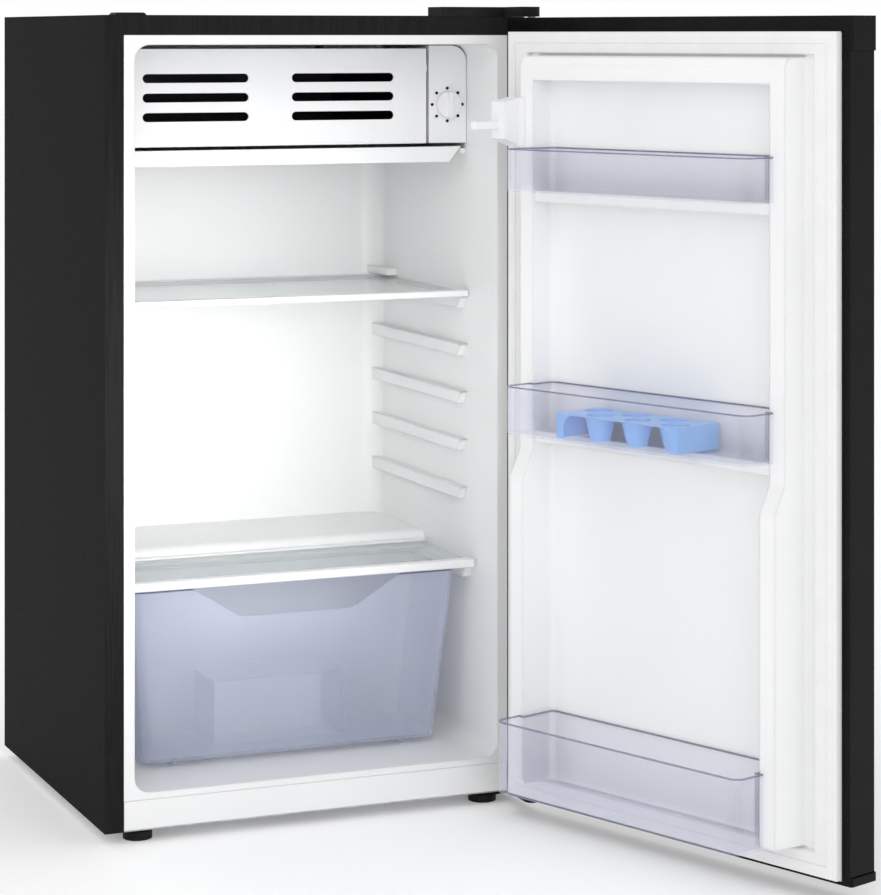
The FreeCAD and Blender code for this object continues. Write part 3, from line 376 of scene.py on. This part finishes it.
def white_moulding():
    finish = Finish("white_moulding", Specular_IOR_Level=0.4)
    spark = finish.noise(1300, 2)
    finish.set("Base Color", finish.ramp(finish.noise(22, 3), tones((0.87, 0.875, 0.885), 0.012)))
    finish.set("Roughness", spark * 0.14 + 0.34)
    finish.bump(spark, 0.08, 0.0003, edge=0.0008)
    return finish.material


def seal_vinyl():
    finish = Finish("gasket_vinyl", Specular_IOR_Level=0.3)
    tone = finish.noise(45, 4)
    finish.set("Base Color", finish.ramp(tone, tones((0.83, 0.832, 0.83), 0.02)))
    finish.set("Roughness", tone * 0.2 + 0.5)
    finish.bump(finish.noise(700, 3), 0.12, 0.0003, edge=0.0008)
    return finish.material


def egg_blue():
    finish = Finish("pale_blue_moulding", Specular_IOR_Level=0.45, Subsurface_Weight=0.08)
    tone = finish.noise(60, 3)
    finish.set("Base Color", finish.ramp(tone, tones((0.2, 0.45, 0.88), 0.05)))
    finish.set("Roughness", tone * 0.15 + 0.25)
    finish.bump(finish.noise(900, 2), 0.06, 0.0003, edge=0.0006)
    return finish.material


print("white finishes are ready")

# %% [markdown]
# ## Clear pieces
# The bins and the drawer are clear styrene with a faint blue tint. A clear wall shows most where it is seen
# edge on, so the finish lets through less light there, and the tint gathers along rims and corners. Along the
# top rims a darker tint is painted on as shade.

# %% Clear finishes
# A dark colour painted along the top rims as shade.
RIM_SHADE = (0.2, 0.2, 0.32)
RIM_SHADE_SOLID = 0.45


def clear_wall(name, colour, through, edge_on, gloss, rim=None, ripple=0.04):
    """A see-through wall: through is how solid it looks from straight ahead, edge_on from the side.

    With a rim height, the cut edge above it is painted darker and more solid, a painted shade along the rim.
    The ripple is the strength of the faint waves in the surface.
    """
    finish = Finish(name, Specular_IOR_Level=0.5)
    facing = finish.node("ShaderNodeLayerWeight", {}, {"Blend": 0.3}, output="Facing")
    flow = finish.noise(14, 3)
    tint = finish.ramp(flow, tones(colour, 0.03))
    solid = facing * (edge_on - through) + through
    if rim:
        # Above the rim height the tint is painted darker and more solid: painted shade along the rim.
        rim_shade_mask = finish.along("Z") > rim
        tint = finish.mix(rim_shade_mask, tint, (*RIM_SHADE, 1.0))
        solid = solid + rim_shade_mask * RIM_SHADE_SOLID
    finish.set("Base Color", tint)
    finish.set("Alpha", solid)
    finish.set("Roughness", flow * 0.06 + gloss)
    finish.bump(finish.noise(55, 2), ripple, 0.0005)
    return finish.material


BIN_TINT = (0.74, 0.76, 0.94)
DRAWER_TINT = (0.74, 0.79, 0.97)
GLASS_TINT = (0.72, 0.8, 0.78)
RIM_DEPTH = 0.0016


def rim_of(name):
    """The height at which a piece's top edge starts."""
    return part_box(name)[1][2] - RIM_DEPTH


clear = {"crisper_drawer": clear_wall("clear_drawer", DRAWER_TINT, 0.2, 0.6, 0.06, rim_of("crisper_drawer"))}
for name in ("door_bin_top", "door_bin_middle", "door_bin_bottom"):
    clear[name] = clear_wall("clear_" + name, BIN_TINT, 0.045, 0.4, 0.05, rim_of(name))
print("clear finishes:", sorted(clear))

# %% [markdown]
# ## Metals
# Galvanised sheet has large frosty spangles, rolled aluminium has fine lines along its length, and zinc plate
# and drawn copper are smooth with small cloudy stains. The aluminium is painted near black: painted shade for
# the unlit inside of the evaporator behind the flap.

# %% Metal finishes
def galvanised():
    finish = Finish("galvanised_sheet", Metallic=1.0)
    spangle = finish.node("ShaderNodeTexVoronoi", {"feature": "F1"},
                          {"Vector": finish.place(), "Scale": 95.0}, output="Color")
    shade = finish.node("ShaderNodeSeparateColor", {}, {"Color": spangle})
    finish.set("Base Color", finish.ramp(shade, [(0.0, (0.42, 0.43, 0.45)), (1.0, (0.62, 0.63, 0.65))]))
    finish.set("Roughness", shade * 0.22 + 0.34)
    finish.bump(finish.noise(120, 3), 0.1, 0.0005, edge=0.0006)
    return finish.material


def rolled(name, colour, gloss, stretch):
    finish = Finish(name, Metallic=1.0)
    lines = finish.noise(260, 3, 0.6, stretch)
    finish.set("Base Color", finish.ramp(lines, tones(colour, 0.08)))
    finish.set("Roughness", lines * 0.2 + gloss)
    finish.bump(lines, 0.12, 0.0003, edge=0.0005)
    return finish.material


def foam():
    finish = Finish("rigid_foam", Roughness=0.9, Specular_IOR_Level=0.1)
    pores = finish.cells(260)
    finish.set("Base Color", finish.ramp(pores, [(0.0, (0.5, 0.42, 0.24)), (0.6, (0.74, 0.66, 0.42))]))
    finish.bump(pores, 0.5, 0.001)
    return finish.material


print("metal and foam finishes are ready")

# %% [markdown]
# ## Dressing the pieces
# Every piece has a material slot, so one table gives each slot its finish. The drawer and the bins have a
# finish each, because their rims of painted shade are at different heights.

# %% Dress every node by its material slot
finishes = {
    "black_steel": leather_black(),
    "gloss_black_plastic": gloss_black(),
    "black_plastic": satin_black(),
    "black_enamel": black_enamel(),
    "black_rubber": rubber(),
    "white_liner": white_liner(),
    "white_plastic": white_moulding(),
    "frosted_plastic": white_moulding(),
    "clear_plastic": clear_wall("clear_styrene", BIN_TINT, 0.06, 0.42, 0.05),
    "pale_blue_plastic": egg_blue(),
    "gasket_vinyl": seal_vinyl(),
    "shelf_glass": clear_wall("shelf_glass", GLASS_TINT, 0.12, 0.6, 0.02, ripple=0.003),
    # The aluminium's colour is near black: painted shade for the unlit inside of the evaporator, seen through
    # the flap's slots.
    "aluminium": rolled("rolled_aluminium_painted_shade", (0.055, 0.056, 0.06), 0.4, (1, 8, 8)),
    "galvanised_steel": galvanised(),
    "zinc_steel": rolled("zinc_plate", (0.5, 0.5, 0.51), 0.3, (2, 2, 2)),
    "copper": rolled("drawn_copper", (0.75, 0.42, 0.29), 0.22, (6, 6, 1)),
    "ferrite": rubber(),
    "insulation": foam(),
}
slots = {part["node"]: part["material_slot"] for part in frame["record"]["subparts"]}
for name, slot in slots.items():
    nodes[name].data.materials.clear()
    nodes[name].data.materials.append(clear.get(name, finishes[slot]))
nodes["door_skin"].data.materials[0] = finishes["gloss_black_plastic"]
floor_finish = Finish("pale_floor", Roughness=0.7, Specular_IOR_Level=0.2, Emission_Color=(1.0, 1.0, 1.0),
                      Emission_Strength=0.16)
floor_finish.set("Base Color", floor_finish.ramp(floor_finish.noise(3, 2), tones((0.93, 0.93, 0.93), 0.01)))
floor.data.materials.append(floor_finish.material)
print(len(finishes), "finishes on", len(nodes), "nodes")

# %% [markdown]
# ## Softening what came out of a mould
# A drawing's edges are perfectly sharp, and nothing that was moulded, cast or pressed is. The bends of a bin
# or the corners of a trim could be modelled again, but their sizes are already right, so each mesh is copied,
# its loose triangles are merged into whole faces, and a Bevel modifier rounds whatever turns by more than
# thirty degrees. The copy then stands for the piece it came from.

# %% A softened copy
SHARP_TURN = math.radians(30)
SMOOTH_TURN = math.radians(35)
FLAT_TURN = math.radians(0.5)
TINY = 0.00002
bodies = frame["record"]["behaviour"]["bodies"]
body_of = {name: body for body, names in bodies.items() for name in names}


def merged_copy(name):
    """A copy of a node's mesh, with its triangles joined into whole flat faces.

    A face with a notch or a hole in it is split again until every face is convex, which keeps it flat when
    its edges are rounded.
    """
    piece = bpy.data.objects.new("soft_" + name, nodes[name].data.copy())
    scene.collection.objects.link(piece)
    pick(piece)
    bpy.ops.mesh.customdata_custom_splitnormals_clear()
    bpy.ops.object.mode_set(mode="EDIT")
    bpy.ops.mesh.select_all(action="SELECT")
    bpy.ops.mesh.remove_doubles(threshold=TINY)
    bpy.ops.mesh.dissolve_limited(angle_limit=FLAT_TURN)
    bpy.ops.mesh.vert_connect_concave()
    bpy.ops.object.mode_set(mode="OBJECT")
    return piece


def use_modifier(piece, kind, **settings):
    """Adds a modifier, sets it and applies it."""
    modifier = piece.modifiers.new(kind.lower(), kind)
    for key, value in settings.items():
        setattr(modifier, key, value)
    pick(piece)
    bpy.ops.object.modifier_apply(modifier=modifier.name)


def round_off(piece, width, segments=3, wall=0.0):
    """Rounds every edge that turns by more than thirty degrees, and smooths the shading over it.

    With a wall, the piece is an open sheet that gets that thickness once it is rounded.
    """
    use_modifier(piece, "BEVEL", width=width, segments=segments, limit_method="ANGLE",
                 angle_limit=SHARP_TURN)
    if wall:
        use_modifier(piece, "SOLIDIFY", thickness=wall, offset=-1)
    pick(piece)
    bpy.ops.object.shade_smooth_by_angle(angle=SMOOTH_TURN)
    use_modifier(piece, "WEIGHTED_NORMAL", keep_sharp=True)


def stands_for(piece, name):
    """The piece takes a node's place: its body and its finish."""
    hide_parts(name)
    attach(piece, body_of[name])


softness = {
    "freezer_flap": 0.0012, "drip_tray": 0.0012, "thermostat_box": 0.0015, "thermostat_knob": 0.0009,
    "shelf_front_trim": 0.002, "shelf_rear_trim": 0.002, "crisper_cover_front_trim": 0.002,
    "crisper_cover_rear_trim": 0.002, "shelf_glass": 0.0009, "crisper_cover_glass": 0.0009,
    "crisper_drawer": 0.0011, "door_bin_top": 0.0009, "door_bin_middle": 0.0009, "door_bin_bottom": 0.0009,
    "egg_tray": 0.0006, "door_bumper": 0.0025, "top_hinge_cover": 0.0008, "hinge_hole_plug": 0.0006,
    "door_top_cap": 0.0011, "door_bottom_cap": 0.0011, "foot_front_left": 0.001, "foot_front_right": 0.001,
    "feet_rear": 0.001, "terminal_cover": 0.003, "cord_gland": 0.001, "compressor": 0.006,
    "compressor_grommets": 0.0015, "condenser_clips": 0.0008, "front_plinth": 0.001,
}
for name, width in softness.items():
    piece = merged_copy(name)
    before = len(piece.data.polygons)
    round_off(piece, width)
    stands_for(piece, name)
    print(name, "rounded by", round(width * 1000, 1), "mm:", before, "faces became", len(piece.data.polygons))

# %% [markdown]
# ## The two white liners
# A liner is one sheet of styrene, sucked warm over a mould, so its inner corners are as round as its outer
# ones. Rounding both faces of a thin shell would fight over the same corner. So only the face that shows is
# kept: a seam is marked round the rim, everything linked to one face inside the seam is selected, and the
# rest is deleted. The sheet gets its thickness back after its corners are rounded.

# %% Keep one face of a shell
door_joint = [joint for joint in frame["joints"] if joint["name"] == "door_hinge"][0]
HINGE = Vector((*door_joint["pos_m"][:2], 0))
DOOR_OPEN = math.radians(110)
ALONG = Vector((-math.cos(DOOR_OPEN), -math.sin(DOOR_OPEN), 0))
INWARD = Vector((-math.sin(DOOR_OPEN), math.cos(DOOR_OPEN), 0))
DOOR_BACK = 0.0285
SHEET = 0.0015
KEPT_SHEET = SHEET * 0.8
SAME_WAY = 0.9
SIDEWAYS = 0.1


def visible_sheet(name, is_rim, is_seed):
    """The part of a shell on one side of its rim."""
    piece = merged_copy(name)
    mesh = piece.data
    edges = {tuple(sorted(edge.vertices)): edge for edge in mesh.edges}
    seed = 0
    largest = 0
    for face in mesh.polygons:
        points = [mesh.vertices[index].co for index in face.vertices]
        if is_rim(points, face.normal):
            for key in face.edge_keys:
                edges[tuple(sorted(key))].use_seam = True
        elif is_seed(points, face.normal) and face.area > largest:
            seed = face.index
            largest = face.area
    pick(piece)
    bpy.ops.object.mode_set(mode="EDIT")
    bpy.ops.mesh.select_all(action="DESELECT")
    bpy.ops.mesh.select_mode(type="FACE")
    bpy.ops.object.mode_set(mode="OBJECT")
    piece.data.polygons[seed].select = True
    bpy.ops.object.mode_set(mode="EDIT")
    bpy.ops.mesh.select_linked(delimit={"SEAM"})
    bpy.ops.mesh.select_all(action="INVERT")
    bpy.ops.mesh.delete(type="FACE")
    bpy.ops.object.mode_set(mode="OBJECT")
    return piece


def round_chosen(piece, chosen, width, segments):
    """Rounds the edges whose two end points pass a test."""
    pick(piece)
    bpy.ops.object.mode_set(mode="EDIT")
    bpy.ops.mesh.select_mode(type="EDGE")
    bpy.ops.mesh.select_all(action="DESELECT")
    bpy.ops.object.mode_set(mode="OBJECT")
    mesh = piece.data
    count = 0
    for edge in mesh.edges:
        edge.select = chosen(*[mesh.vertices[index].co for index in edge.vertices])
        count += edge.select
    bpy.ops.object.mode_set(mode="EDIT")
    bpy.ops.mesh.bevel(offset=width, segments=segments, affect="EDGES", clamp_overlap=True)
    bpy.ops.object.mode_set(mode="OBJECT")
    return count


def door_depth(point):
    """How far a point lies behind the door's hinge axis, towards the inside of the fridge when it is shut."""
    return (point - HINGE).dot(INWARD)


def door_length(point):
    """How far a point lies from the hinge axis along the door."""
    return (point - HINGE).dot(ALONG)


print("the door turns about", tuple(round(c, 4) for c in HINGE[:2]))
print("it stands", round(math.degrees(DOOR_OPEN)), "degrees open")

# %% [markdown]
# ## The door's liner
# The liner's plate carries two tall dykes, which hold the bins. Where they rise from the plate the sheet has a
# wide soft bend, so those edges are rounded first, and everything else after them.

# %% The door's liner
FOOT_ROUND = 0.007
SHEET_ROUND = 0.003
CLEAR_OF_RIM = 0.01
plate = DOOR_BACK + SHEET
door_liner = visible_sheet(
    "door_liner",
    lambda points, normal: (all(door_depth(p) < plate + TINY for p in points)
                            and abs(normal.dot(INWARD)) < SIDEWAYS),
    lambda points, normal: (normal.dot(INWARD) > SAME_WAY
                            and all(abs(door_depth(p) - plate) < TINY for p in points)))
low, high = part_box("door_liner")
lengths = [door_length(vertex.co) for vertex in door_liner.data.vertices]
near, far = min(lengths), max(lengths)


def at_foot(start, end):
    """Where the dykes rise from the plate, but not the plate's own outer edge."""
    return all(abs(door_depth(p) - plate) < TINY
               and near + CLEAR_OF_RIM < door_length(p) < far - CLEAR_OF_RIM
               and low[2] + CLEAR_OF_RIM < p.z < high[2] - CLEAR_OF_RIM for p in (start, end))


feet = round_chosen(door_liner, at_foot, FOOT_ROUND, 5)
round_off(door_liner, SHEET_ROUND, 4, KEPT_SHEET)
stands_for(door_liner, "door_liner")
print("the door's liner:", feet, "edges at the dykes' foot rounded,", len(door_liner.data.polygons), "faces")

# %% [markdown]
# ## The door's seal
# The seal is a soft extruded frame. Only the edges of its front face are rounded: the outer ones a little and
# the inner ones more, where the flap curls over.

# %% The door's gasket
SEAL_SIDE = 0.028
SEAL_END = 0.022
SEAL_FLAP = 0.0073
OUTER_ROUND = 0.0018
INNER_ROUND = 0.003
gasket = merged_copy("door_gasket")
lengths = [door_length(vertex.co) for vertex in gasket.data.vertices]
seal_near, seal_far = min(lengths), max(lengths)
seal_low, seal_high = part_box("door_gasket")


def on_frame(point, side, end):
    """Whether a point is on the rectangle that lies this far in from the seal's outer edge."""
    across = min(abs(door_length(point) - seal_near - side), abs(door_length(point) - seal_far + side))
    up = min(abs(point.z - seal_low[2] - end), abs(point.z - seal_high[2] + end))
    return min(across, up) < TINY * 2 and door_depth(point) > plate + SEAL_FLAP - TINY * 2


outer = round_chosen(gasket, lambda start, end: on_frame(start, 0, 0) and on_frame(end, 0, 0), OUTER_ROUND, 4)
inner = round_chosen(gasket, lambda start, end: on_frame(start, SEAL_SIDE, SEAL_END)
                     and on_frame(end, SEAL_SIDE, SEAL_END), INNER_ROUND, 4)
pick(gasket)
bpy.ops.object.shade_smooth_by_angle(angle=SMOOTH_TURN)
stands_for(gasket, "door_gasket")
print("the gasket:", outer, "outer and", inner, "inner edges rounded")

# %% [markdown]
# ## The cabinet's liner
# Its rim is the front flange, and the largest face that looks forward from deep inside is the back wall, so
# that face is the one that everything kept is linked to.

# %% The cabinet's liner
front_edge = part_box("inner_liner")[0][1]
inner_liner = visible_sheet(
    "inner_liner",
    lambda points, normal: all(p.y < front_edge + SHEET + TINY for p in points) and abs(normal.y) < SIDEWAYS,
    lambda points, normal: normal.y < -SAME_WAY and all(p.y > 0 for p in points))
round_off(inner_liner, SHEET_ROUND, 4, KEPT_SHEET)
stands_for(inner_liner, "inner_liner")
print("the cabinet's liner has", len(inner_liner.data.polygons), "faces")

# %% [markdown]
# ## The thermostat's dial
# The knob is set against a ring of eight small marks, pressed round it on the box. One mark is modelled: a
# short cylinder, drawn in at its face so that it reads as a moulded pip. The ring is copies of it, each with
# its own mesh, turned about the knob's axis.

# %% Dial marks
DIAL_RADIUS = 0.0178
MARK_RADIUS = 0.0017
MARK_HEIGHT = 0.0008
MARKS = 8
dial_low, dial_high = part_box("thermostat_knob")
box_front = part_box("thermostat_box")[0][1]
dial_x = (dial_low[0] + dial_high[0]) / 2
dial_z = (dial_low[2] + dial_high[2]) / 2


def settle(piece):
    """Puts a finished piece's place and turn into its mesh."""
    pick(piece)
    bpy.ops.object.transform_apply(location=True, rotation=True, scale=True)


def faces_towards(piece, direction):
    """Selects, in edit mode, only the faces that look along a direction."""
    bpy.ops.object.mode_set(mode="EDIT")
    bpy.ops.mesh.select_mode(type="FACE")
    bpy.ops.mesh.select_all(action="DESELECT")
    bpy.ops.object.mode_set(mode="OBJECT")
    for face in piece.data.polygons:
        face.select = face.normal.dot(direction) > SAME_WAY
    bpy.ops.object.mode_set(mode="EDIT")


def copies(piece, places, name):
    """One piece made of copies of another, each moved by its own step."""
    made = []
    for step in places:
        twin = piece.copy()
        twin.data = piece.data.copy()
        twin.location = step
        scene.collection.objects.link(twin)
        made.append(twin)
    bpy.data.objects.remove(piece)
    pick(*made)
    bpy.ops.object.join()
    whole = bpy.context.object
    whole.name = name
    settle(whole)
    return whole


pick()
bpy.ops.mesh.primitive_cylinder_add(vertices=20, radius=MARK_RADIUS, depth=MARK_HEIGHT,
                                    location=(0, 0, 0), rotation=(math.radians(90), 0, 0))
mark = bpy.context.object
settle(mark)
faces_towards(mark, Vector((0, -1, 0)))
bpy.ops.mesh.inset(thickness=MARK_RADIUS * 0.3, depth=MARK_HEIGHT * 0.3)
bpy.ops.object.mode_set(mode="OBJECT")
turns = [math.radians(360 * number / MARKS) for number in range(MARKS)]
ring = [(dial_x + DIAL_RADIUS * math.sin(turn), box_front - MARK_HEIGHT * 0.2,
         dial_z + DIAL_RADIUS * math.cos(turn)) for turn in turns]
dial = copies(mark, ring, "dial_marks")
dial.data.materials.append(finishes["black_plastic"])
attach(dial, "cabinet")
print("dial marks:", MARKS, "at", round(DIAL_RADIUS * 1000, 1), "mm from the knob's axis")

# %% [markdown]
# ## The compressor's weld
# The pot is two drawn steel halves, and the top one is welded over the lower. The weld shows as a bead all
# the way round. A torus gives it its section, and every few millimetres the bead swells a little, as a weld
# laid while the pot turns does.

# %% Weld bead
BEAD = 0.0022
POT_RADIUS = 0.06
POT_X = -0.04
POT_SETBACK = 0.0805
WELD_LEVEL = 0.55
SWELLS = 40
SWELL = 0.25
pot_low, pot_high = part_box("compressor")
weld_height = pot_low[2] + (pot_high[2] - pot_low[2]) * WELD_LEVEL
pot_axis = (POT_X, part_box("back_panel")[1][1] - POT_SETBACK)
pick()
bpy.ops.mesh.primitive_torus_add(location=(*pot_axis, weld_height), major_segments=120, minor_segments=8,
                                 major_radius=POT_RADIUS, minor_radius=BEAD)
weld = bpy.context.object
weld.name = "compressor_weld"
settle(weld)
for vertex in weld.data.vertices:
    turn = math.atan2(vertex.co.y - pot_axis[1], vertex.co.x - pot_axis[0])
    vertex.co.z = weld_height + (vertex.co.z - weld_height) * (1 + SWELL * math.sin(SWELLS * turn))
pick(weld)
bpy.ops.object.shade_smooth()
weld.data.materials.append(finishes["black_enamel"])
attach(weld, "cabinet")
print("the weld bead runs round a pot of", round(POT_RADIUS * 2000), "mm")

# %% [markdown]
# ## Screws in the back panel
# The back panel is held by a row of small pan-head screws down each side. One head is modelled from a short
# cylinder: its face is drawn in and domed, and a second inset sunk into it leaves the driver's recess.

# %% Back panel screws
HEAD_RADIUS = 0.0035
HEAD_HEIGHT = 0.0016
SIDE_MARGIN = 0.009
END_MARGIN = 0.03
ROWS = 5
panel_low, panel_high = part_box("back_panel")
pick()
bpy.ops.mesh.primitive_cylinder_add(vertices=24, radius=HEAD_RADIUS, depth=HEAD_HEIGHT,
                                    location=(0, 0, 0), rotation=(math.radians(90), 0, 0))
head = bpy.context.object
settle(head)
faces_towards(head, Vector((0, 1, 0)))
bpy.ops.mesh.inset(thickness=HEAD_RADIUS * 0.25, depth=HEAD_HEIGHT * 0.3)
bpy.ops.mesh.inset(thickness=HEAD_RADIUS * 0.35)
bpy.ops.mesh.inset(thickness=HEAD_RADIUS * 0.08, depth=-HEAD_HEIGHT * 0.6)
bpy.ops.object.mode_set(mode="OBJECT")
row_span = panel_high[2] - panel_low[2] - 2 * END_MARGIN
rows = [panel_low[2] + END_MARGIN + number * row_span / (ROWS - 1) for number in range(ROWS)]
sides = (panel_low[0] + SIDE_MARGIN, panel_high[0] - SIDE_MARGIN)
places = [(x, panel_high[1] + HEAD_HEIGHT * 0.3, z) for x in sides for z in rows]
screws = copies(head, places, "back_panel_screws")
screws.data.materials.append(finishes["zinc_steel"])
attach(screws, "cabinet")
print("screws in the back panel:", len(places))
